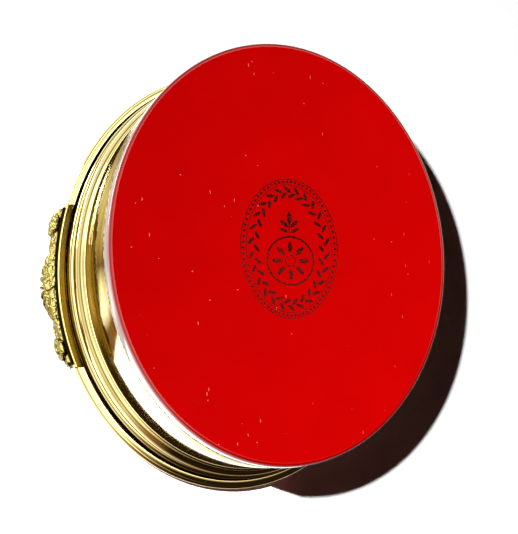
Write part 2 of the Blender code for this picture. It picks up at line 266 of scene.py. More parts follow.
floor_paper = paper("floor_paper", (0.86, 0.86, 0.85), NEVER)
card_paper = paper("card_paper", (1.0, 1.0, 1.0), HALF_TURNED)
stage_plane("floor", 6.0, (0, 0, 0), FLAT, floor_paper, "camera")
high_card = 66 * MM
low_card = cad_box[1].z + 0.4 * MM
low_end = -23 * MM
stage_plane("card", 150 * MM, (5 * MM, 12 * MM, high_card), FACE_DOWN, card_paper, "camera")
stage_plane("low_card", 22 * MM, (low_end, -4.6 * MM, low_card), FACE_DOWN, card_paper, "camera")
STEPS = 14
STEP_SIZE = 8 * MM
STEP_WIDE = 0.375
first_step = 4.9 * MM
flight = 16.8 * MM
for i in range(STEPS):
    rise = (i + 1) / (STEPS + 1)
    spot = (low_end, first_step + flight * rise, low_card + (high_card - low_card) * rise)
    stage_plane(f"card_step_{i}", STEP_SIZE, spot, FACE_DOWN, card_paper, "camera", STEP_WIDE)
print("floor and card are on the stage, the card in", STEPS + 2, "levels")

# %% [markdown]
# The base is lit by one small lamp close to the camera, which gives the hard, narrow
# shadow to one side. Wide suns light the box from above, softly, for all the other
# views.

# %% Lamps
FLASH_PLACE = Vector((-19.0, -80.2, -210.1)) * MM


def add_light(name, kind, energy, place=(0, 0, 0), turn=(0, 0, 0)):
    light = bpy.data.objects.new(name, bpy.data.lights.new(name, kind))
    light.data.energy = energy
    light.location = place
    light.rotation_euler = [math.radians(angle) for angle in turn]
    bpy.context.scene.collection.objects.link(light)
    return light


FLASH_WATTS = 4.5
flash = add_light("flash", "POINT", FLASH_WATTS, FLASH_PLACE)
flash.data.shadow_soft_size = 1.0 * MM
flash.visible_glossy = False
suns = [
    # name, strength, spread and turn in degrees
    ("sky_light", 1.7, 150, (0, 0, 0)),
    ("window_light", 1.5, 22, (48, 0, 35)),
]
for name, strength, spread, turn in suns:
    sun = add_light(name, "SUN", strength, turn=turn)
    sun.data.angle = math.radians(spread)
    sun.visible_glossy = name == "window_light"

# %% [markdown]
# The world is pale to the eye, and polished metal sees a room in it: bright above and
# below, with a dark band at the horizon, which is what makes gilt look like gilt. One
# side of this room is brown to black, and one end is dimmer. What metal sees in metal
# is darker again, as in a real groove, where the light has been through two bounces.

# %% World
NIGHT = (0.008, 0.004, 0.001)
DIM_END = (0.012, 0.006, 0.002)
BROWN = (0.26, 0.11, 0.02)
OCHRE = (0.5, 0.32, 0.08)
SOOT = (0.03, 0.014, 0.003)
PALE = (0.86, 0.86, 0.855)
world = bpy.data.worlds.new("room")
world.use_nodes = True
bpy.context.scene.world = world
tree = world.node_tree
tree.nodes.clear()
direction = add_node(tree, "ShaderNodeTexCoord")
split = add_node(tree, "ShaderNodeSeparateXYZ")
join(tree, direction.outputs["Generated"], split.inputs["Vector"])
height = calculate(tree, "MULTIPLY_ADD", split.outputs["Z"], 0.5, 0.5)
room_by_height = [
    (0.0, (3.3, 3.25, 3.1)),
    (0.1, (2.7, 2.65, 2.45)),
    (0.24, (1.7, 1.65, 1.4)),
    (0.4, (0.7, 0.6, 0.4)),
    (0.47, (0.34, 0.25, 0.12)),
    (0.54, (0.34, 0.25, 0.12)),
    (0.62, (0.9, 0.82, 0.66)),
    (0.8, (1.1, 1.08, 1.02)),
    (0.93, (1.5, 1.5, 1.45)),
    (1.0, (3.0, 3.0, 2.9)),
]
reflected = ramp(tree, height, room_by_height)
print("the room has", len(room_by_height), "tones from floor to ceiling")

# %% Dark sides of the room
left = calculate(tree, "MULTIPLY", split.outputs["X"], -0.86)
dark_way = calculate(tree, "MULTIPLY_ADD", split.outputs["Y"], 0.5, left)
brown_side = ramp(tree, dark_way, [(0.2, 0.0), (0.42, 0.9)])
dark_side = ramp(tree, dark_way, [(0.42, 0.0), (0.6, 0.97)])
reflected = blend_colours(tree, brown_side, reflected, BROWN)
far_end = ramp(tree, split.outputs["X"], [(0.42, 0.0), (0.7, 0.5)])
level = ramp(tree, height, [(0.22, 0.0), (0.34, 1.0), (0.56, 1.0), (0.64, 0.0)])
reflected = blend_colours(tree, calculate(tree, "MULTIPLY", far_end, level), reflected, DIM_END)
reflected = blend_colours(tree, dark_side, reflected, NIGHT)

# %% What each kind of ray sees
rays = add_node(tree, "ShaderNodeLightPath")
direct = calculate(tree, "LESS_THAN", rays.outputs["Diffuse Depth"], 0.5)
mirrored = calculate(tree, "MULTIPLY", rays.outputs["Is Glossy Ray"], direct)
second_mirror = calculate(tree, "GREATER_THAN", rays.outputs["Glossy Depth"], 1.5)
end_to_end = calculate(tree, "MULTIPLY_ADD", split.outputs["X"], 0.5, 0.5)
dimmer = ramp(tree, end_to_end, [(0.36, SOOT), (0.48, OCHRE), (0.6, OCHRE), (0.7, SOOT)])
reflected = blend_colours(tree, second_mirror, reflected, dimmer)
ambient = ramp(tree, height, [(0.45, (0.001, 0.001, 0.001)), (0.6, (0.09, 0.09, 0.092))])
soft = blend_colours(tree, mirrored, ambient, reflected)
shown = blend_colours(tree, rays.outputs["Is Camera Ray"], soft, PALE)
background = add_node(tree, "ShaderNodeBackground")
join(tree, shown, background.inputs["Color"])
output = add_node(tree, "ShaderNodeOutputWorld")
join(tree, background.outputs["Background"], output.inputs["Surface"])
print("the world is set")

# %% [markdown]
# Two cards that only polished surfaces see. A dark one lies where the flat base
# would mirror the room, so that its red stays deep. A brown one hangs over the front
# of the box and gives the wall its warm, streaked reflection.


# %% Reflector cards
def reflector(name, tones, long_side):
    """A glowing card, seen only in reflections: tones run along it, with soft streaks."""
    material, tree, shader = start_material(name)
    split = add_node(tree, "ShaderNodeSeparateXYZ")
    join(tree, place_nodes(tree), split.inputs["Vector"])
    along = calculate(tree, "MULTIPLY_ADD", split.outputs["X"], 1 / long_side, 0.5)
    streaks = noise(tree, place_nodes(tree, (20, 240, 1)), 1.0, 3)
    streaked = ramp(tree, streaks, [(0.36, 0.3), (0.62, 1.0)])
    light = add_node(tree, "ShaderNodeEmission")
    tone = blend_colours(tree, 0.75, ramp(tree, along, tones), streaked, "MULTIPLY")
    join(tree, tone, light.inputs["Color"])
    join(tree, light.outputs["Emission"], tree.nodes["Material Output"].inputs["Surface"])
    tree.nodes.remove(shader)
    return material


DARK_SIZE = 170 * MM
BROWN_SIZE = 50 * MM
dark_tones = [(0.0, (0.002, 0.002, 0.002)), (1.0, (0.004, 0.003, 0.003))]
brown_tones = [
    (0.0, (0.3, 0.12, 0.03)),
    (0.1, (0.35, 0.16, 0.05)),
    (0.2, (2.4, 2.2, 1.8)),
    (0.32, (1.6, 1.4, 0.9)),
    (0.42, (0.3, 0.15, 0.05)),
    (0.55, (0.6, 0.42, 0.14)),
    (0.75, (1.0, 0.8, 0.36)),
    (1.0, (0.5, 0.32, 0.12)),
]
cards = [
    ("dark", DARK_SIZE, (25 * MM, 50 * MM, -150 * MM), dark_tones),
    ("brown", BROWN_SIZE, (11 * MM, -35 * MM, 64 * MM), brown_tones),
]
for name, size, place, tones in cards:
    card = stage_plane(name + "_card", size, place, FLAT, reflector(name + "_tone", tones, size), "glossy")
    print("a card for reflections:", card.name)

# %% [markdown]
# ## Finishes
# ** Gilt.** The mounts are brass, gilded and polished. Polishing runs round the rings,
# so the finest marks are stretched along the plan and packed tight in height.
# Ambient occlusion paints the grooves, and the joints where pieces meet, towards near
# black: painted shade, together with some old polish and tarnish.


# %% Gilt
TARNISH_AND_SHADE = (0.012, 0.006, 0.0015)
GRAINS = 3600


def gilt(name, bright=(0.97, 0.85, 0.39), deep=(0.7, 0.5, 0.18), polish=(0.04, 0.13), stipple=0.0):
    """Gilded brass: polish is its range of roughness, stipple how deep its cast grain is."""
    material, tree, shader = start_material(name)
    place = place_nodes(tree)
    clouds = noise(tree, place, 260, 4)
    hoops = noise(tree, place_nodes(tree, (120, 120, 9000)), 1.0, 2)
    worn = ramp(tree, clouds, [(0.35, tuple(0.86 * part for part in bright)), (0.65, bright)])
    # Painted shade: ambient occlusion turns grooves and joints between pieces towards near black.
    crevice = add_node(tree, "ShaderNodeAmbientOcclusion", samples=8)
    crevice.inputs["Distance"].default_value = 0.45 * MM
    open_share = ramp(tree, crevice.outputs["AO"], [(0.28, 0.0), (0.55, 0.55), (0.8, 1.0)])
    tarnished_and_shaded = blend_colours(tree, open_share, TARNISH_AND_SHADE, worn)
    edge_tone = ramp(tree, hoops, [(0.3, deep), (0.5, (1.0, 1.0, 1.0))])
    colour = blend_colours(tree, 0.18, tarnished_and_shaded, edge_tone, "MULTIPLY")
    join(tree, colour, shader.inputs["Base Color"])
    shader.inputs["Metallic"].default_value = 1.0
    rough = ramp(tree, noise(tree, place, 900, 5, 0.6), [(0.3, polish[0]), (0.75, polish[1])])
    join(tree, rough, shader.inputs["Roughness"])
    if stipple:
        grains = add_node(tree, "ShaderNodeTexVoronoi")
        grains.inputs["Scale"].default_value = GRAINS
        join(tree, place, grains.inputs["Vector"])
        bump(tree, shader, grains.outputs["Distance"], stipple, 0.9)
    else:
        waves = calculate(tree, "MULTIPLY_ADD", noise(tree, place, 90, 1), 6.0, hoops)
        bump(tree, shader, waves, 0.004 * MM, 0.5)
    return material


polished_gilt = gilt("polished_gilt")
plate_gilt = gilt("plate_gilt", (0.88, 0.76, 0.24), (0.5, 0.38, 0.1), (0.1, 0.26))
cast_gilt = gilt("cast_gilt", (0.56, 0.48, 0.16), (0.3, 0.22, 0.06), (0.14, 0.32), 0.09 * MM)
pin_gilt = gilt("pin_brass", (0.78, 0.58, 0.27), (0.5, 0.33, 0.12), (0.15, 0.35))
print("gilt finishes:", polished_gilt.name, cast_gilt.name, pin_gilt.name)

# %% [markdown]
# ** Enamel.** Enamel is coloured glass fused on copper. A darker ring of painted shade
# lies at the edge of the flat face. Round the roll and up the tray's side, a painted
# highlight turns the red pink, then white. Across the face the red is painted darker
# towards one end and one side, as the light falls there. The glass keeps a few pale
# specks and short hairline scratches. The edge is found with the same oval as the plan.


# %% Enamel
SHADED_RED = (0.222, 0.0002, 0.0003)
LIT_RED = (0.4, 0.0005, 0.0004)
EDGE_SHADE_RED = (0.09, 0.0002, 0.0003)
HIGHLIGHT_WHITE = (0.9, 0.86, 0.88)
SPECK = (0.75, 0.3, 0.22)


def oval_distance(tree):
    """How far outside the plan's oval a point lies, in millimetres."""
    place = place_nodes(tree, (1 / half_length, 1 / half_width, 0))
    length = add_node(tree, "ShaderNodeVectorMath", operation="LENGTH")
    join(tree, place, length.inputs[0])
    middle = (half_length + half_width) / 2 / MM
    return calculate(tree, "MULTIPLY_ADD", length.outputs["Value"], middle, -middle)


def specks(tree, scale, size, chance, stretch=(1, 1, 1), turn=(0, 0, 0)):
    """1 inside a scatter of small spots, 0 elsewhere; chance is the share of cells with one."""
    cells = add_node(tree, "ShaderNodeTexVoronoi")
    cells.inputs["Scale"].default_value = scale
    join(tree, place_nodes(tree, stretch, turn), cells.inputs["Vector"])
    inside = calculate(tree, "LESS_THAN", cells.outputs["Distance"], size)
    shade = add_node(tree, "ShaderNodeSeparateColor")
    join(tree, cells.outputs["Color"], shade.inputs["Color"])
    picked = calculate(tree, "LESS_THAN", shade.outputs["Red"], chance)
    return calculate(tree, "MULTIPLY", inside, picked)


def red_enamel(name, edge_start, edge_end, marks=1.0):
    """Red glass with a painted dark ring of shade, then a painted highlight fading to white, between two
    distances out and up the edge, in mm.
    """
    material, tree, shader = start_material(name)
    place = place_nodes(tree)
    split = add_node(tree, "ShaderNodeSeparateXYZ")
    join(tree, place, split.inputs["Vector"])
    # Painted light: the red is darker towards the +X end and the -Y side, lighter towards the others, as
    # the light falls; a noise adds tone that varies at random.
    lean = calculate(tree, "MULTIPLY_ADD", split.outputs["X"], -6.0, 0.47)
    painted_light_slope = calculate(tree, "MULTIPLY_ADD", split.outputs["Y"], 16.0, lean)
    cloud = calculate(tree, "MULTIPLY_ADD", noise(tree, place, 150, 3), 0.3, painted_light_slope)
    red = ramp(tree, calculate(tree, "SUBTRACT", cloud, 0.15), [(0.0, SHADED_RED), (1.0, LIT_RED)])
    dust = specks(tree, 900, 0.045, 0.4)
    scratches = specks(tree, 1.0, 0.06, 0.24, (330, 2400, 330), (0, 0, 28))
    scatter = calculate(tree, "ADD", dust, scratches)
    fewer = calculate(tree, "MULTIPLY_ADD", split.outputs["Y"], -18.0, 0.45)
    shown = calculate(tree, "MULTIPLY", scatter, calculate(tree, "MULTIPLY", fewer, marks))
    speckled = blend_colours(tree, shown, red, SPECK)
    wobble = calculate(tree, "MULTIPLY_ADD", noise(tree, place, 200, 3), 0.12, -0.06)
    distance = calculate(tree, "ADD", oval_distance(tree), wobble)
    climbed = calculate(tree, "MULTIPLY_ADD", split.outputs["Z"], 0.35 / MM, distance)
    past_start = calculate(tree, "SUBTRACT", climbed, edge_start)
    share = calculate(tree, "DIVIDE", past_start, edge_end - edge_start)
    # Painted shade: a darker ring of red at the edge of the flat face, where it starts to turn.
    edge_shade = ramp(tree, share, [(0.12, 0.0), (0.27, 0.62), (0.42, 0.0)])
    edge_shaded = blend_colours(tree, edge_shade, speckled, EDGE_SHADE_RED)
    # Painted highlight: over the roll and up the side the red fades to pink, then white.
    highlight_fade = ramp(tree, share, [(0.3, 0.0), (0.42, 0.1), (0.6, 0.42), (0.85, 0.88), (1.0, 1.0)])
    highlighted = blend_colours(tree, highlight_fade, edge_shaded, HIGHLIGHT_WHITE)
    join(tree, highlighted, shader.inputs["Base Color"])
    shader.inputs["Roughness"].default_value = 0.09
    shader.inputs["Specular IOR Level"].default_value = 0.38
    shader.inputs["Coat Weight"].default_value = 0.12
    shader.inputs["Coat Roughness"].default_value = 0.04
    bump(tree, shader, noise(tree, place, 420, 2), 0.006 * MM, 0.35)
    return material


def white_enamel(name):
    """Milky white glass with a few dark pits."""
    material, tree, shader = start_material(name)
    place = place_nodes(tree)
    tone = ramp(tree, noise(tree, place, 180, 3), [(0.3, (0.84, 0.82, 0.78)), (0.7, (0.9, 0.89, 0.86))])
    pits = blend_colours(tree, specks(tree, 620, 0.03, 0.05), tone, (0.2, 0.17, 0.14))
    join(tree, pits, shader.inputs["Base Color"])
    shader.inputs["Roughness"].default_value = 0.12
    bump(tree, shader, noise(tree, place, 380, 2), 0.008 * MM, 0.4)
    return material


base_red = red_enamel("base_red_enamel", -0.2, 0.925)
# The lid's rim hides its edge, so its fade lies far outside and never shows.
BEYOND = 50.0
lid_red = red_enamel("lid_red_enamel", BEYOND, BEYOND + 1, 0.35)
lining_white = white_enamel("lining_enamel")
print("enamels:", base_red.name, lid_red.name, lining_white.name)

# %% [markdown]
# ** Copper, ink, paint and cement.** The copper blank under the enamel is hardly seen,
# but it has its own dull, fire-stained finish. The printed mark is a dark, slightly
# patchy ink, and the same recipe in other tones serves for the lid's paints and for
# the near-black solder, which is painted shade in a gap. The cement between tray and
# wall is dark, and rubbed bright in places.


# %% Copper and ink
def fired_copper():
    material, tree, shader = start_material("fired_copper")
    stain = noise(tree, place_nodes(tree), 300, 5)
    tone = ramp(tree, stain, [(0.35, (0.2, 0.06, 0.04)), (0.65, (0.72, 0.34, 0.2))])
    join(tree, tone, shader.inputs["Base Color"])
    shader.inputs["Metallic"].default_value = 1.0
    shader.inputs["Roughness"].default_value = 0.45
    return material


def printed_ink(name, thin, thick, rough=0.4, gloss=0.5):
    """A patchy coat between two tones."""
    material, tree, shader = start_material(name)
    patchy = noise(tree, place_nodes(tree), 4200, 3)
    join(tree, ramp(tree, patchy, [(0.38, thick), (0.68, thin)]), shader.inputs["Base Color"])
    shader.inputs["Roughness"].default_value = rough
    shader.inputs["Specular IOR Level"].default_value = gloss
    return material


def dark_cement():
    """Dark where it stands proud, rubbed bright between."""
    material, tree, shader = start_material("dark_cement")
    broken = noise(tree, place_nodes(tree, (1, 1, 0.3)), 2600, 2)
    tone = ramp(tree, broken, [(0.42, (0.012, 0.006, 0.002)), (0.56, (0.75, 0.6, 0.3))])
    join(tree, tone, shader.inputs["Base Color"])
    shader.inputs["Roughness"].default_value = 0.5
    return material


copper = fired_copper()
cement = dark_cement()
dark_ink = printed_ink("dark_ink", (0.12, 0.002, 0.002), (0.018, 0.0008, 0.0008))
# Painted shade: a near-black solder for the gap round the thumbpiece's casting.
gap_shade_solder = printed_ink("dark_solder_shade", (0.01, 0.006, 0.002), (0.003, 0.0015, 0.0005), 0.7, 0.1)
painted_white = printed_ink("painted_white", (0.9, 0.87, 0.84), (0.8, 0.72, 0.72))
painted_yellow = printed_ink("painted_yellow", (0.85, 0.58, 0.12), (0.6, 0.33, 0.05))
painted_green = printed_ink("painted_green", (0.12, 0.3, 0.09), (0.03, 0.11, 0.04))
print("also:", copper.name, dark_ink.name, gap_shade_solder.name, painted_white.name)

# %% [markdown]
# ## Rings round the plan
# Nearly every part of the box is a ring with a shaped section. We draw it as a
# silversmith spins one: start with a hoop of points round the oval, then extrude it
# and resize it for each point of the section. `sweep` does this for a list of points
# (distance outside the plan, height), and closes the ends. `finish` is for the end of
# every piece: it settles the mesh, and gives the piece its finish and its body.

# %% Ring helpers
RING_POINTS = 192
SAME_SPOT = 1e-7


def clear_selection():
    if bpy.context.mode != "OBJECT":
        bpy.ops.object.mode_set(mode="OBJECT")
    bpy.ops.object.select_all(action="DESELECT")


def finish(name, body, material, replaces=(), sharp=32):
    """Settles the active mesh: its place goes into the mesh, then finish, shading and body."""
    piece = bpy.context.object
    if bpy.context.mode != "OBJECT":
        bpy.ops.object.mode_set(mode="OBJECT")
    bpy.ops.object.transform_apply(location=True, rotation=True, scale=True)
    piece.name = piece.data.name = name
    piece.data.materials.clear()
    piece.data.materials.append(material)
    bpy.ops.object.shade_smooth_by_angle(angle=math.radians(sharp))
    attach(piece, body)
    if replaces:
        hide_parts(*replaces)
    print(f"{name}: {len(piece.data.polygons)} faces, rides on {body}")
    clear_selection()
    return piece


def close_mesh():
    """Merges doubles and turns all faces outwards. Stays in edit mode."""
    bpy.ops.mesh.select_all(action="SELECT")
    bpy.ops.mesh.remove_doubles(threshold=SAME_SPOT)
    bpy.ops.mesh.normals_make_consistent(inside=False)


def sweep(loops, ends="ring"):
    """A mesh through oval loops (half length, half width, height), left in edit mode.

    ends is "ring" to join the last loop to the first, "caps" for flat ends, or "poles"
    for loops that close on the axis.
    """
    clear_selection()
    start = loops[0]
    bpy.ops.mesh.primitive_circle_add(vertices=RING_POINTS, radius=1.0, location=(0, 0, 0))
    bpy.ops.object.mode_set(mode="EDIT")
    bpy.ops.mesh.select_mode(type="VERT")
    bpy.ops.mesh.select_all(action="SELECT")
    bpy.ops.transform.resize(value=(start[0], start[1], 1.0), center_override=(0, 0, 0))
    bpy.ops.transform.translate(value=(0, 0, start[2]))
    steps = list(loops[1:]) + ([start] if ends == "ring" else [])
    here = start
    for there in steps:
        growth = (there[0] / here[0], there[1] / here[1], 1.0)
        bpy.ops.mesh.extrude_region_move(TRANSFORM_OT_translate={"value": (0, 0, there[2] - here[2])})
        bpy.ops.transform.resize(value=growth, center_override=(0, 0, 0))
        here = there
    if ends != "ring":
        # The open rims are the first hoop, with the lowest numbers, and the last one.
        bpy.ops.mesh.select_all(action="DESELECT")
        bpy.ops.mesh.select_non_manifold()
        mesh = bmesh.from_edit_mesh(bpy.context.object.data)
        open_ends = {}
        for vertex in mesh.verts:
            if vertex.select:
                open_ends.setdefault(vertex.index < RING_POINTS, []).append(vertex)
        for group in open_ends.values():
            bpy.ops.mesh.select_all(action="DESELECT")
            for vertex in group:
                if vertex.is_valid:
                    vertex.select = True
            mesh.select_flush_mode()
            if ends == "caps":
                bpy.ops.mesh.edge_face_add()
            else:
                bpy.ops.mesh.merge(type="CENTER")
            mesh = bmesh.from_edit_mesh(bpy.context.object.data)
    close_mesh()


def round_plan(section):
    """Loops for a section given as points (distance outside the plan, height)."""
    return [(half_length + out, half_width + out, high) for out, high in section]


def bead(low, high, bulge, steps=10):
    """A rounded moulding between two points of a section."""
    points = []
    for i in range(steps + 1):
        share = i / steps
        rise = low[1] + (high[1] - low[1]) * (1 - math.cos(math.pi * share)) / 2
        out = low[0] + (high[0] - low[0]) * share + bulge * math.sin(math.pi * share)
        points.append((out, rise))
    return points


def corner(centre, radius, start, end, steps=5):
    """An arc of a section, angles in degrees from outwards towards up."""
    angles = [math.radians(start + (end - start) * i / steps) for i in range(steps + 1)]
    return [(centre[0] + radius * math.cos(a), centre[1] + radius * math.sin(a)) for a in angles]


# %% [markdown]
# ## Tray
# The base is a shallow enamelled dish. Its corner is a generous roll, because glass
# pulls back from a sharp edge. The rim stands proud of the wall by a hair. We draw
# the section from the middle of the underside, round the roll, up to the rim and
# back inside. The face is a hundredth of a millimetre up, to leave room for the mark.

# %% Tray
INK = 0.012 * MM
ROLL = 0.5 * MM
GLASS = 0.5 * MM
tray_rim = tray_high.z
lip = 0.12 * MM
NEAR_MIDDLE = -half_width * 0.9
tray_section = [(NEAR_MIDDLE, INK), (NEAR_MIDDLE / 2, INK), (-3 * MM, INK), (-1.2 * MM, INK)]
tray_section += corner((TRAY_PROUD - ROLL, ROLL + INK), ROLL, -90, 0, 12)
tray_section += corner((TRAY_PROUD - lip, tray_rim - lip), lip, 0, 90, 4)
tray_section += [(TRAY_PROUD - GLASS, tray_rim), (TRAY_PROUD - GLASS, ROLL)]
inner_roll = 0.3 * MM
tray_section += corner((TRAY_PROUD - GLASS - inner_roll, GLASS + inner_roll), inner_roll, 0, -90, 4)
tray_section += [(-3 * MM, GLASS), (NEAR_MIDDLE, GLASS)]
sweep(round_plan(tray_section), "caps")
finish("base_red_tray", "base", base_red, ["base_outer_enamel"], 60)

# %% [markdown]
# Where tray and wall meet, a thread of dark cement shows as a thin broken line. It is
# a ring with a bevelled top, a hair inside the tray's rim.

# %% Cement line
cement_out = TRAY_PROUD - 0.005 * MM
cement_top = tray_rim + 0.24 * MM
bevel = 0.08 * MM
cement_section = [(0.0, tray_rim - 0.05 * MM), (cement_out, tray_rim + 0.01 * MM)]
cement_section += [(cement_out, cement_top - bevel), (cement_out - bevel, cement_top), (0.0, cement_top)]
sweep(round_plan(cement_section))
finish("cement_line", "base", cement, sharp=30)

# %% [markdown]
# Glass on one side only would warp the copper in the kiln, so the tray is enamelled
# inside too, in white. The glass climbs the copper's side in a soft bend, and stops
# in a rounded edge.

# %% Inside of the tray
inner_low, inner_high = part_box("base_inner_enamel")
lining_out = inner_high.x - half_length
lining_glass = 0.35 * MM
bend = 0.9 * MM
glass_edge = 0.15 * MM
lining_floor = inner_low.z + lining_glass
lining_section = [(NEAR_MIDDLE, inner_low.z), (-3 * MM, inner_low.z)]
lining_section += corner((lining_out - bend, inner_low.z + bend), bend, -90, 0, 8)
lining_section += corner((lining_out - glass_edge, inner_high.z - glass_edge), glass_edge, 0, 180, 6)
inside = lining_out - lining_glass
lining_section += corner((inside - bend, lining_floor + bend), bend, 0, -90, 8)
lining_section += [(-3 * MM, lining_floor), (NEAR_MIDDLE, lining_floor)]
sweep(round_plan(lining_section), "caps")
finish("base_white_lining", "base", lining_white, ["base_inner_enamel"], 60)

# %% [markdown]
# ## Wall and base mount
# The wall is one strip of sheet, bent round and soldered, wider at the foot than at
# the top. Both of its outer edges are rounded over.

# %% Wall
SHEET = 0.5 * MM
foot_out = outwards("body_wall")
mount_out = outwards("base_mount")
top_out = mount_out - 0.95 * MM
round_off = 0.17 * MM
wall_section = corner((foot_out - round_off, wall_low + round_off), round_off, -90, 0, 4)
wall_section += corner((top_out - round_off, wall_high - round_off), round_off, 0, 90, 4)
wall_section += [(top_out - SHEET, wall_high), (foot_out - SHEET, wall_low)]
sweep(round_plan(wall_section))
finish("gilt_wall", "base", polished_gilt, ["body_wall"])

# %% [markdown]
# The base mount above the wall is a drawn moulding: a foot bead, a broad bead with a
# turned line, and a narrow bead, with fine grooves between. Here the beads get many
# more steps than in the frame, so that the reflections on them run smoothly.

# %% Base mount
GROOVE = 0.18 * MM
GROOVE_DEEP = 0.3 * MM
bulge = 0.42 * MM
upper_out = mount_out - bulge
foot_bead = 0.75 * MM
broad_bead = 2.4 * MM
broad_low = mount_low + foot_bead + GROOVE
broad_high = broad_low + broad_bead
narrow_low = broad_high + GROOVE
narrow_high = mount_high - GROOVE


def with_turned_line(points, share, depth, width):
    """Cuts a fine V into a bead's points, a share of the way along."""
    spot = round(share * (len(points) - 1))
    out, high = points[spot]
    cut = [(out, high - width), (out - depth, high), (out, high + width)]
    return points[:spot] + cut + points[spot + 1 :]


def groove_bottom(out, low):
    """The square bottom of a groove between two beads."""
    deep = out - GROOVE_DEEP
    return [(deep, low + 0.02 * MM), (deep, low + GROOVE - 0.02 * MM)]


mount_section = [(top_out - SHEET, mount_low), (top_out - GROOVE_DEEP, mount_low)]
mount_section += bead((top_out, mount_low), (top_out, mount_low + foot_bead), 0.22 * MM, 8)
mount_section += groove_bottom(top_out, mount_low + foot_bead)
mount_section += with_turned_line(
    bead((top_out, broad_low), (upper_out, broad_high), bulge, 18), 0.36, 0.07 * MM, 0.05 * MM
)
mount_section += groove_bottom(upper_out, broad_high)
mount_section += bead((upper_out, narrow_low), (upper_out, narrow_high), bulge, 12)
mount_section += [(upper_out - 0.05 * MM, mount_high), (top_out - SHEET, mount_high)]
sweep(round_plan(mount_section))
finish("beaded_mount", "base", polished_gilt, ["base_mount"], 40)

# %% [markdown]
# ## Tongue and catch
# A thin band stands up inside the mount. The lid closes over it, and a low bar at
# its front gives the lid something to snap on. Its top edge is rounded so that it
# does not scratch.

# %% Tongue and catch
tongue_out = outwards("bezel_tongue")
tongue_wall = 0.45 * MM
soften = 0.2 * MM
tongue_section = [(tongue_out - tongue_wall, tongue_low), (tongue_out, tongue_low)]
tongue_section += corner((tongue_out - soften, tongue_high - soften), soften, 0, 90, 5)
tongue_section += corner((tongue_out - tongue_wall + soften, tongue_high - soften), soften, 90, 180, 5)
sweep(round_plan(tongue_section))
finish("tongue_band", "base", polished_gilt, ["bezel_tongue"])

# %% [markdown]
# ## Lid: plaque and rim
# The lid's plaque is three domes, one in another: red enamel, copper, white enamel.
# Each is a stack of ovals that shrink towards the crown and close there. The dome
# follows one curve, flat on top and falling faster towards the edge, and the same
# curve is used later to lay the painted decoration on it.

# %% Lid enamel
dome_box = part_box("lid_outer_enamel")
dome_edge = dome_box[1].x - half_length
DOME_POWER = 2.1
RISE = 3.7 * MM
DOME_SHARES = [0.03, 0.08, 0.15, 0.23, 0.32, 0.41, 0.5, 0.58, 0.66, 0.74, 0.81, 0.87, 0.92, 0.96, 1.0]


def dome_height(low, share):
    """Height of a dome with its rim at low, at a share of the way from crown to rim."""
    return low + RISE * (1 - share**DOME_POWER)


def dome_loops(low, shares):
    """The ovals of a dome, for sweep."""
    return [
        (share * (half_length + dome_edge), share * (half_width + dome_edge), dome_height(low, share))
        for share in shares
    ]


def dome(name, node, thickness, material):
    """One shell of the plaque: an upper dome, a lower one, and a pole in each."""
    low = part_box(node)[0].z
    loops = dome_loops(low + thickness, DOME_SHARES) + dome_loops(low, DOME_SHARES[::-1])
    sweep(loops, "poles")
    return finish(name, "lid", material, [node], 50)


dome("lid_red_dome", "lid_outer_enamel", 0.5 * MM, lid_red)
dome("lid_white_lining", "lid_inner_enamel", 0.35 * MM, lining_white)

# %% [markdown]
# The rim that holds the plaque has a flat underside with one turned groove, a big
# rounded bead, a smaller bead above it, and a thin lip that is burnished down on the
# enamel. It is swept like the other rings, and this is its section.

# %% Lid rim's section
rim_bore = dome_edge + 0.05 * MM
rim_reach = outwards("lid_mount")
neck_out = 1.15 * MM
groove_out = rim_bore + 0.2 * MM
bead_start = groove_out + 0.2 * MM
lower_bead = 1.65 * MM
upper_bead = 0.85 * MM
neck_high = rim_low + lower_bead
lip_inner = dome_edge - 0.45 * MM
lip_share = (half_width + lip_inner) / (half_width + dome_edge)
plaque_top = dome_box[0].z + 0.5 * MM
lip_low = dome_height(plaque_top, lip_share) + 0.02 * MM
lip_high = lip_low + 0.3 * MM
side_bulge = rim_reach - (bead_start + neck_out) / 2
rim_section = [(rim_bore, rim_low), (groove_out, rim_low), (groove_out + 0.1 * MM, rim_low + 0.2 * MM)]
rim_section += with_turned_line(
    bead((bead_start, rim_low), (neck_out, neck_high), side_bulge, 20), 0.3, 0.09 * MM, 0.07 * MM
)
rim_section += bead((neck_out, neck_high), (neck_out, neck_high + upper_bead), 0.22 * MM, 8)[1:]
rim_section += [(dome_edge + 0.5 * MM, lip_high - 0.16 * MM), (dome_edge + 0.2 * MM, lip_high - 0.06 * MM)]
rim_section += corner((lip_inner + 0.15 * MM, lip_high - 0.15 * MM), 0.15 * MM, 90, 180, 4)
rim_section += [(lip_inner, lip_low), (rim_bore, plaque_top + 0.05 * MM)]
print("points in the rim's section:", len(rim_section))

# %% [markdown]
# The rim needs room for the thumbpiece at the front and for the hinge at the back. A
# maker would saw and file it out. We cut it with two blocks whose inner face follows
# the plan: each is a ring, bisected down to a stretch, and a Boolean modifier takes
# it out of the rim.


# %% Cutting helpers
def keep_front_or_back(left, right, side):
    """Cuts the active ring down to a stretch of its front (side -1) or its back (side 1)."""
    for spot, normal in (
        ((left, 0, 0), (-1, 0, 0)),
        ((right, 0, 0), (1, 0, 0)),
        ((0, 0, 0), (0, -side, 0)),
    ):
        bpy.ops.mesh.select_all(action="SELECT")
        bpy.ops.mesh.bisect(plane_co=spot, plane_no=normal, use_fill=True, clear_outer=True)
    close_mesh()


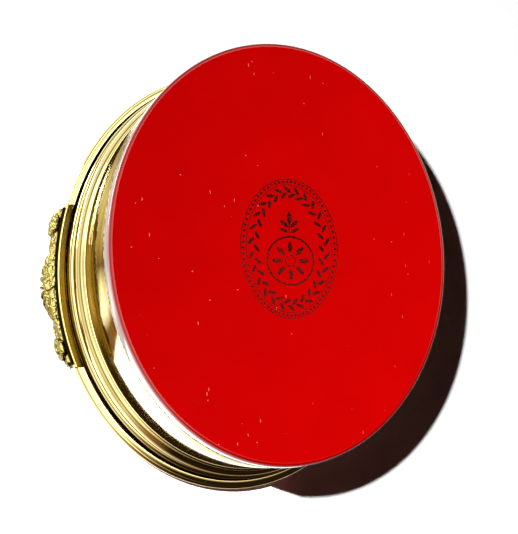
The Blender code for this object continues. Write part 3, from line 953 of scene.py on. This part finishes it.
def cutting_block(out, low, high, half, middle, side):
    """A block behind or before the box, whose near face follows the plan."""
    far = 6 * MM
    sweep(round_plan([(out, low), (out + far, low), (out + far, high), (out, high)]))
    keep_front_or_back(middle - half, middle + half, side)
    bpy.ops.object.mode_set(mode="OBJECT")
    return bpy.context.object


def cut_with(piece, block):
    """Subtracts a helper block from a piece, then removes the block."""
    clear_selection()
    piece.select_set(True)
    bpy.context.view_layer.objects.active = piece
    cutter = piece.modifiers.new("cut", "BOOLEAN")
    cutter.operation = "DIFFERENCE"
    cutter.solver = "EXACT"
    cutter.object = block
    bpy.ops.object.modifier_apply(modifier=cutter.name)
    bpy.data.objects.remove(block, do_unlink=True)


# %% Lid rim
thumb_low, thumb_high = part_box("thumbpiece_plate")
thumb_middle = (thumb_low.x + thumb_high.x) / 2
thumb_half = (thumb_high.x - thumb_low.x) / 2
hinge_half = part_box("lid_hinge_plate")[1].x
recess_out = 0.77 * MM
gap = 0.02 * MM
below, above = rim_low - 1 * MM, rim_low + 8 * MM
sweep(round_plan(rim_section))
bpy.ops.object.mode_set(mode="OBJECT")
rim = bpy.context.object
cut_with(rim, cutting_block(recess_out, below, above, thumb_half + gap, thumb_middle, -1))
cut_with(rim, cutting_block(recess_out, below, above, hinge_half + gap, 0.0, 1))
finish("lid_rim", "lid", polished_gilt, ["lid_mount"], 40)

# %% [markdown]
# Inside the rim a plain band holds the plaque from below and closes over the tongue.
# Its section is an upright strip with all four edges rounded.


# %% Lid band
def soft_strip(inner, outer, low, high, inner_round, outer_round, inner_steps=3, outer_steps=3):
    """An upright strip's section, from the foot of its outer face round to its inner foot."""
    section = corner((outer - outer_round, low + outer_round), outer_round, -90, 0, outer_steps)
    section += corner((outer - outer_round, high - outer_round), outer_round, 0, 90, outer_steps)
    section += corner((inner + inner_round, high - inner_round), inner_round, 90, 180, inner_steps)
    section += corner((inner + inner_round, low + inner_round), inner_round, 180, 270, inner_steps)
    return section


band_low, band_high = heights("lid_retaining_band")
band_out = outwards("lid_retaining_band")
band_in = band_out - 0.85 * MM
soft_edge = 0.12 * MM
sweep(round_plan(soft_strip(band_in, band_out, band_low, band_high, soft_edge, soft_edge)))
finish("lid_holding_band", "lid", polished_gilt, ["lid_retaining_band"])

# %% [markdown]
# ## Thumbpiece
# The thumbpiece is two parts: a plain curved strip that is soldered against the rim,
# and a cast ornament on it, a fluted shell between two scrolls. The strip is one
# more ring of the plan, cut off at both ends.


# %% Thumb plate
def front_part(section, middle, half):
    """The stretch of a swept ring before the box, between two distances along it."""
    sweep(round_plan(section))
    keep_front_or_back(middle - half, middle + half, -1)


PLATE_THICK = 0.85 * MM
plate_out = 0.8 * MM
plate_face = plate_out + PLATE_THICK
plate_low, plate_high = heights("thumbpiece_plate")
edge = 0.1 * MM
plate_section = soft_strip(plate_out, plate_face, plate_low, plate_high, edge, 2 * edge, 3, 4)
front_part(plate_section, thumb_middle, thumb_half)
finish("thumb_plate", "lid", plate_gilt, ["thumbpiece_plate"], 40)

# %% [markdown]
# The ornament starts as stretched spheres and rings laid on the plate: ribs that
# spread like a fan, a full body behind them, and a curl with leaves at each end. They
# overlap, as wax does before casting. A voxel remesh makes them one skin, a smooth
# softens it, and a fine displacement leaves the stippled ground of the casting.


# %% Ornament helpers
def front_place(along, out, high):
    """A point before the box: along the plate, out from the plan, at a height."""
    across = -(half_width + out) * math.sqrt(1 - (along / (half_length + out)) ** 2)
    return Vector((along, across, high))


def front_turn(along):
    """How far the plan has turned at a place along the front."""
    across = half_width * math.sqrt(1 - (along / half_length) ** 2)
    return math.atan2(along * half_width**2, across * half_length**2)


def lay_on_front(thing, along, out, high, own_turn):
    """Moves a new primitive to its place on the front, and puts that into its mesh."""
    turn = Matrix.Rotation(front_turn(along), 4, "Z")
    thing.matrix_world = Matrix.Translation(front_place(along, out, high)) @ turn @ own_turn
    bpy.ops.object.transform_apply(location=True, rotation=True, scale=True)
    return thing


def blob(along, out, high, size, lean=0.0):
    """A stretched sphere on the front; lean turns it in the plane of the plate."""
    bpy.ops.mesh.primitive_uv_sphere_add(segments=20, ring_count=12, radius=1.0)
    shape = Matrix.Rotation(lean, 4, "Y") @ Matrix.Diagonal((*size, 1))
    return lay_on_front(bpy.context.object, along, out, high, shape)


def curl(along, out, high, radius, thick):
    """A ring that lies on the plate, for a scroll's eye."""
    bpy.ops.mesh.primitive_torus_add(
        major_radius=radius, minor_radius=thick, major_segments=28, minor_segments=10
    )
    return lay_on_front(bpy.context.object, along, out, high, Matrix.Rotation(math.pi / 2, 4, "X"))


def join_all(pieces):
    clear_selection()
    for piece in pieces:
        piece.select_set(True)
    bpy.context.view_layer.objects.active = pieces[0]
    bpy.ops.object.join()
    return bpy.context.object


# %% Shell
ornament_low, ornament_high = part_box("thumbpiece_ornament")
ground_out = plate_face + 0.24 * MM
middle_z = (ornament_low.z + ornament_high.z) / 2
tall = (ornament_high.z - ornament_low.z) / 2
RIBS = 9
FAN = 160
shell_half = 4.5 * MM
shell_foot = ornament_low.z + 0.3 * MM
shell = []
for i in range(RIBS):
    angle = math.radians(-FAN / 2 + FAN * i / (RIBS - 1))
    upright = math.cos(angle)
    reach = Vector((shell_half * math.sin(angle), 0, 1.9 * tall * upright))
    rib = (0.36 * MM + 0.06 * MM * upright, (0.55 + 0.95 * upright**0.8) * MM, reach.length / 2)
    lean = math.atan2(reach.x, reach.z)
    shell.append(blob(thumb_middle + reach.x / 2, ground_out, shell_foot + reach.z / 2, rib, lean))
button = (0.75 * MM, 1.0 * MM, 0.45 * MM)
cushion = (3.9 * MM, 1.1 * MM, 0.93 * tall)
shell.append(blob(thumb_middle, ground_out + 0.3 * MM, ornament_low.z + 0.5 * MM, button))
shell.append(blob(thumb_middle, ground_out, middle_z, cushion))
print("ribs, and all parts of the shell:", RIBS, len(shell))

# %% Scrolls and ground
SCROLL_OUT = 6.9
scroll_eye = (0.62 * MM, 0.85 * MM, 0.52 * MM)
scroll_leaves = [
    # in mm: from the middle, up, half sizes; then the lean
    (5.0, 0.5, (1.5, 0.5, 0.4), 0.25),
    (5.3, -0.55, (1.3, 0.45, 0.32), -0.3),
    (8.2, 0.3, (0.75, 0.4, 0.5), 0.6),
]
scrolls = []
for side in (-1, 1):
    eye = thumb_middle + side * SCROLL_OUT * MM
    scrolls.append(curl(eye, ground_out + 0.35 * MM, middle_z, 0.95 * MM, 0.46 * MM))
    scrolls.append(blob(eye, ground_out + 0.2 * MM, middle_z, scroll_eye))
    for along, up, size, lean in scroll_leaves:
        spot = (thumb_middle + side * along * MM, ground_out, middle_z + up * MM)
        scrolls.append(blob(*spot, [part * MM for part in size], side * lean))
ground_in, ground_proud = ground_out - 0.1 * MM, ground_out + 0.3 * MM
ground_section = [(ground_in, middle_z - 0.75 * tall), (ground_proud, middle_z - 0.6 * tall)]
ground_section += [(ground_proud, middle_z + 0.6 * tall), (ground_in, middle_z + 0.75 * tall)]
front_part(ground_section, thumb_middle, thumb_half - 0.5 * MM)
bpy.ops.object.mode_set(mode="OBJECT")
ground = bpy.context.object
print("parts of the scrolls:", len(scrolls))

# %% Casting
ornament = join_all([*shell, *scrolls, ground])
ornament.data.remesh_voxel_size = 0.075 * MM
bpy.ops.object.voxel_remesh()
soften_wax = ornament.modifiers.new("soften", "SMOOTH")
soften_wax.factor = 0.5
soften_wax.iterations = 2
bpy.ops.object.modifier_apply(modifier=soften_wax.name)
grain = bpy.data.textures.new("casting_grain", "VORONOI")
grain.noise_scale = 0.28 * MM
stippling = ornament.modifiers.new("stipple", "DISPLACE")
stippling.texture = grain
stippling.texture_coords = "LOCAL"
stippling.strength = -0.09 * MM
stippling.mid_level = 0.0
bpy.ops.object.modifier_apply(modifier=stippling.name)
finish("thumb_ornament", "lid", cast_gilt, ["thumbpiece_ornament"], 60)

# %% [markdown]
# A near-black bed, standing for solder, fills the narrow gap between plate and ornament:
# painted shade, which frames the casting with a dark line. It is one more stretch of a ring.

# %% Solder bed
# Painted shade: the bed is near black, for the shade in the gap round the casting.
bed_in = plate_face - 0.1 * MM
bed_low, bed_high = plate_low + 0.12 * MM, plate_high - 0.2 * MM
bed_section = [(bed_in, bed_low), (ground_out, bed_low), (ground_out, bed_high), (bed_in, bed_high)]
front_part(bed_section, thumb_middle, thumb_half - 0.3 * MM)
finish("solder_bed_shade", "lid", gap_shade_solder, sharp=30)

# %% [markdown]
# ## Hinge
# Five knuckles share one pin: three belong to the base, two to the lid. Each is a
# short tube. It starts as an open cylinder, a Solidify modifier gives it its wall,
# and a Bevel takes the sharpness off its rims. Each has its own length, so a loop
# models them one by one. Both leaves come from the frame as they are, because their
# troughs already clear the knuckles.

# %% Knuckles
knuckle_radius = 0.95 * MM
knuckle_wall = 0.5 * MM


def knuckle(name, node, body):
    """One tube of the hinge, as long as its node."""
    low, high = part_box(node)
    middle = Vector(((low.x + high.x) / 2, hinge_place.y, hinge_place.z))
    bpy.ops.mesh.primitive_cylinder_add(
        vertices=48,
        radius=knuckle_radius,
        depth=high.x - low.x,
        end_fill_type="NOTHING",
        location=middle,
        rotation=(0, math.pi / 2, 0),
    )
    bpy.ops.object.transform_apply(location=True, rotation=True, scale=True)
    tube = bpy.context.object
    wall = tube.modifiers.new("wall", "SOLIDIFY")
    wall.thickness = knuckle_wall
    wall.offset = -1.0
    bpy.ops.object.modifier_apply(modifier=wall.name)
    rims = tube.modifiers.new("rims", "BEVEL")
    rims.width = 0.09 * MM
    rims.segments = 3
    rims.limit_method = "ANGLE"
    bpy.ops.object.modifier_apply(modifier=rims.name)
    bpy.ops.object.mode_set(mode="EDIT")
    close_mesh()
    finish(name, body, polished_gilt, [node], 40)


for body, numbers in (("base", (1, 3, 5)), ("lid", (2, 4))):
    for i in numbers:
        knuckle(f"hinge_knuckle_{i}", f"{body}_knuckle_{i}", body)

# %% [markdown]
# The pin's ends are hammered into low heads. We extrude the ends of a cylinder
# outwards in small steps and resize each step.

# %% Hinge pin
pin_radius = 0.4 * MM
shank_half = 0.05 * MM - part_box("base_knuckle_1")[0].x
head_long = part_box("hinge_pin")[1].x - shank_half
head_steps = [
    # share of the head's length, and growth
    (0.02, 1.5),
    (0.3, 1.0),
    (0.3, 0.9),
    (0.23, 0.7),
    (0.15, 0.45),
]
bpy.ops.mesh.primitive_cylinder_add(
    vertices=40, radius=pin_radius, depth=2 * shank_half, location=hinge_place, rotation=(0, math.pi / 2, 0)
)
bpy.ops.object.transform_apply(location=True, rotation=True, scale=True)
bpy.ops.object.mode_set(mode="EDIT")
bpy.ops.mesh.select_mode(type="FACE")
for side in (-1, 1):
    bpy.ops.mesh.select_all(action="DESELECT")
    mesh = bmesh.from_edit_mesh(bpy.context.object.data)
    mesh.faces.ensure_lookup_table()
    for face in mesh.faces:
        face.select = face.normal.x * side > 0.9
    bmesh.update_edit_mesh(bpy.context.object.data)
    centre = (side * shank_half, hinge_place.y, hinge_place.z)
    for step, size in head_steps:
        bpy.ops.mesh.extrude_region_move(TRANSFORM_OT_translate={"value": (side * step * head_long, 0, 0)})
        bpy.ops.transform.resize(value=(1, size, size), center_override=centre)
bpy.ops.mesh.select_mode(type="VERT")
close_mesh()
finish("hinge_rod", "base", pin_gilt, ["hinge_pin"], 50)

# %% [markdown]
# ## Printed mark
# The base carries a small printed mark. Ours is a plain ornament with no words: an
# oval of dots between two lines, a wreath of leaves, a ring with a rosette, and a
# bud over it. Ink sits on top of the fired enamel, so each shape is a sliver of real
# thickness. A leaf or a dot is modelled once and copied, each copy with its own mesh.


# %% Mark helpers
def sliver(sides, half_x, half_y, depth):
    """One thin shape with a few sides, pointed along Y, at the origin."""
    bpy.ops.mesh.primitive_cylinder_add(vertices=sides, radius=1.0, depth=depth, location=(0, 0, depth / 2))
    bpy.context.object.scale = (half_x, half_y, 1)
    bpy.ops.object.transform_apply(location=True, rotation=True, scale=True)
    return bpy.context.object


def copies(template, places):
    """Copies of a shape at (x, y, turn, size), each with its own mesh; the template goes."""
    made = []
    for x, y, turn, size in places:
        twin = template.copy()
        twin.data = template.data.copy()
        shape = Matrix.Rotation(turn, 4, "Z") @ Matrix.Diagonal((size, size, 1, 1))
        twin.matrix_world = Matrix.Translation((x, y, 0)) @ shape
        bpy.context.scene.collection.objects.link(twin)
        made.append(twin)
    bpy.data.objects.remove(template, do_unlink=True)
    return made


def oval_line(centre, half_x, half_y, width, depth):
    """A thin flat line along an oval."""
    outer, inner = (half_x, half_y), (half_x - width, half_y - width)
    sweep([(*outer, 0), (*outer, depth), (*inner, depth), (*inner, 0)])
    bpy.ops.object.mode_set(mode="OBJECT")
    bpy.context.object.location = (centre[0], centre[1], 0)
    return bpy.context.object


def round_oval(centre, half_x, half_y, count, size, lean=0.0, shift=0.0):
    """Places spread round an oval, turned to follow it."""
    places = []
    for i in range(count):
        angle = 2 * math.pi * (i + shift) / count
        x, y = half_x * math.cos(angle), half_y * math.sin(angle)
        tangent = math.atan2(half_y * math.cos(angle), -half_x * math.sin(angle))
        places.append((centre[0] + x, centre[1] + y, tangent - math.pi / 2 + lean, size))
    return places


# %% Lines and wreath
mark_centre = (0.35 * MM, 0.9 * MM)
rose_centre = (-0.95 * MM, 0.98 * MM)
print_depth = INK + 0.004 * MM
ACROSS = -math.pi / 2
mark = [
    oval_line(mark_centre, 7.35 * MM, 5.3 * MM, 0.09 * MM, print_depth),
    oval_line(mark_centre, 6.75 * MM, 4.7 * MM, 0.07 * MM, print_depth),
    oval_line(rose_centre, 2.62 * MM, 2.62 * MM, 0.2 * MM, print_depth),
    oval_line(rose_centre, 0.62 * MM, 0.62 * MM, 0.12 * MM, print_depth),
]
dot = sliver(8, 0.15 * MM, 0.15 * MM, print_depth)
mark += copies(dot, round_oval(mark_centre, 7.04 * MM, 4.99 * MM, 72, 1.0))
leaf = sliver(6, 0.2 * MM, 0.52 * MM, print_depth)
LEAVES = 26
outer_leaves = round_oval(mark_centre, 6.2 * MM, 4.15 * MM, LEAVES, 1.0, 0.7)
inner_leaves = round_oval(mark_centre, 5.6 * MM, 3.55 * MM, LEAVES, 1.0, -0.7, 0.5)
mark += copies(leaf, outer_leaves + inner_leaves)
print("shapes in the mark so far:", len(mark))

# %% [markdown]
# The rosette and the bud are made of the same few-sided slivers. The bud's leaves
# stand in pairs on a stem.

# %% Rosette and bud
petal = sliver(8, 0.26 * MM, 0.6 * MM, print_depth)
mark += copies(petal, round_oval(rose_centre, 1.45 * MM, 1.45 * MM, 8, 1.0, ACROSS))


def on_stem(along, aside, lean, size):
    """A place on the bud's stem, which leaves the rosette along X."""
    return (rose_centre[0] + along * MM, rose_centre[1] + aside * MM, ACROSS + lean, size)


stem = sliver(4, 0.1 * MM, 1.25 * MM, print_depth)
mark += copies(stem, [on_stem(3.6, 0.0, 0.0, 1.0)])
bud = sliver(6, 0.26 * MM, 0.62 * MM, print_depth)
bud_places = [on_stem(4.5, 0.0, 0.0, 1.15)]
for side in (1, -1):
    bud_places.append(on_stem(3.9, side * 0.55, side * 0.9, 0.95))
    bud_places.append(on_stem(3.2, side * 0.6, side * 1.1, 0.8))
mark += copies(bud, bud_places)
join_all(mark)
finish("printed_mark", "base", dark_ink, sharp=30)

# %% [markdown]
# ## Lid decoration
# The lid has a fine raised gilt line near its edge and a finer white line inside it,
# then a small painted flower spray in the middle. Each follows the dome's own curve.


# %% Lid decoration
def dome_line(name, share, width, lift, material):
    """A fine line laid round the dome."""
    inner_share = share - width / (half_width + dome_edge)
    outer, inner = dome_loops(plaque_top, [share, inner_share])
    corners = ((outer, -lift), (outer, lift), (inner, lift), (inner, -lift))
    sweep([(long, wide, high + rise) for (long, wide, high), rise in corners])
    finish(name, "lid", material, sharp=60)


dome_line("lid_gilt_line", 0.885, 0.42 * MM, 0.025 * MM, polished_gilt)
dome_line("lid_white_line", 0.845, 0.2 * MM, 0.02 * MM, painted_white)


def on_dome(x, y):
    """Height of the lid's surface over a point of the plan."""
    share = math.hypot(x / (half_length + dome_edge), y / (half_width + dome_edge))
    return dome_height(plaque_top, share)


def dome_tilt(x, y):
    """The turn that lays a flat shape on the dome at a point."""
    step = 0.2 * MM
    slope_x = (on_dome(x + step, y) - on_dome(x - step, y)) / (2 * step)
    slope_y = (on_dome(x, y + step) - on_dome(x, y - step)) / (2 * step)
    return Vector((0, 0, 1)).rotation_difference(Vector((-slope_x, -slope_y, 1))).to_matrix().to_4x4()


DAB_HIGH = 0.07 * MM


def painted(name, shapes, material):
    """Thin domed dabs of enamel paint: shapes are (x, y, turn, half width, half length)."""
    dabs = []
    for x, y, turn, wide, long in shapes:
        bpy.ops.mesh.primitive_uv_sphere_add(segments=16, ring_count=8, radius=1.0)
        dab = bpy.context.object
        dab.matrix_world = (
            Matrix.Translation((x, y, on_dome(x, y)))
            @ dome_tilt(x, y)
            @ Matrix.Rotation(turn, 4, "Z")
            @ Matrix.Diagonal((wide, long, DAB_HIGH, 1))
        )
        dabs.append(dab)
    join_all(dabs)
    finish(name, "lid", material, sharp=60)


# %% [markdown]
# The spray is painted by hand with a fine brush: each petal, heart and leaf is one
# dab, a flattened sphere that lies on the dome. Flowers of three sizes keep it loose.

# %% Flower spray
PETALS = 5


def flower(x, y, size, turn):
    """The petals of one flower, as shapes for painted()."""
    shapes = []
    for i in range(PETALS):
        angle = turn + 2 * math.pi * i / PETALS
        spot = (x + 0.62 * size * math.cos(angle), y + 0.62 * size * math.sin(angle))
        shapes.append((*spot, angle + ACROSS, 0.36 * size, 0.5 * size))
    return shapes


blooms = [
    # x, y and size in mm, then the turn
    (0.0, 0.0, 2.6, 0.3),
    (-4.6, 1.3, 1.9, 0.9),
    (4.4, -1.4, 1.9, 0.1),
    (-7.9, -0.6, 1.2, 0.5),
    (7.7, 0.7, 1.2, 0.0),
]
leaf_places = [
    # x, y, turn and half length of a leaf; each has a twin across the middle
    (2.3, 2.0, -0.9, 1.1),
    (3.0, -2.9, -2.1, 1.2),
    (6.4, 2.4, -1.2, 0.9),
    (6.2, -2.6, -1.9, 0.9),
    (10.1, 0.6, -1.6, 1.0),
]
petals, hearts, leaves = [], [], []
for x, y, size, turn in blooms:
    petals += flower(x * MM, y * MM, size * MM, turn)
    hearts.append((x * MM, y * MM, 0.0, 0.2 * size * MM, 0.2 * size * MM))
for side, half_turn in ((-1, math.pi), (1, 0.0)):
    for x, y, turn, long in leaf_places:
        leaves.append((side * x * MM, side * y * MM, turn + half_turn, 0.36 * long * MM, long * MM))
painted("lid_petals", petals, painted_white)
painted("lid_flower_hearts", hearts, painted_yellow)
painted("lid_leaves", leaves, painted_green)

# %% [markdown]
# ## What stays as it is in the frame
# The copper blanks, the catch and the two hinge leaves already have the right shape,
# so they only get their finishes.

# %% Remaining frame nodes
for node, material in (
    ("base_copper_blank", copper),
    ("lid_copper_blank", copper),
    ("catch_bar", polished_gilt),
    ("base_hinge_plate", polished_gilt),
    ("lid_hinge_plate", polished_gilt),
):
    owner = frame["nodes"][node]
    owner.data.materials.clear()
    owner.data.materials.append(material)
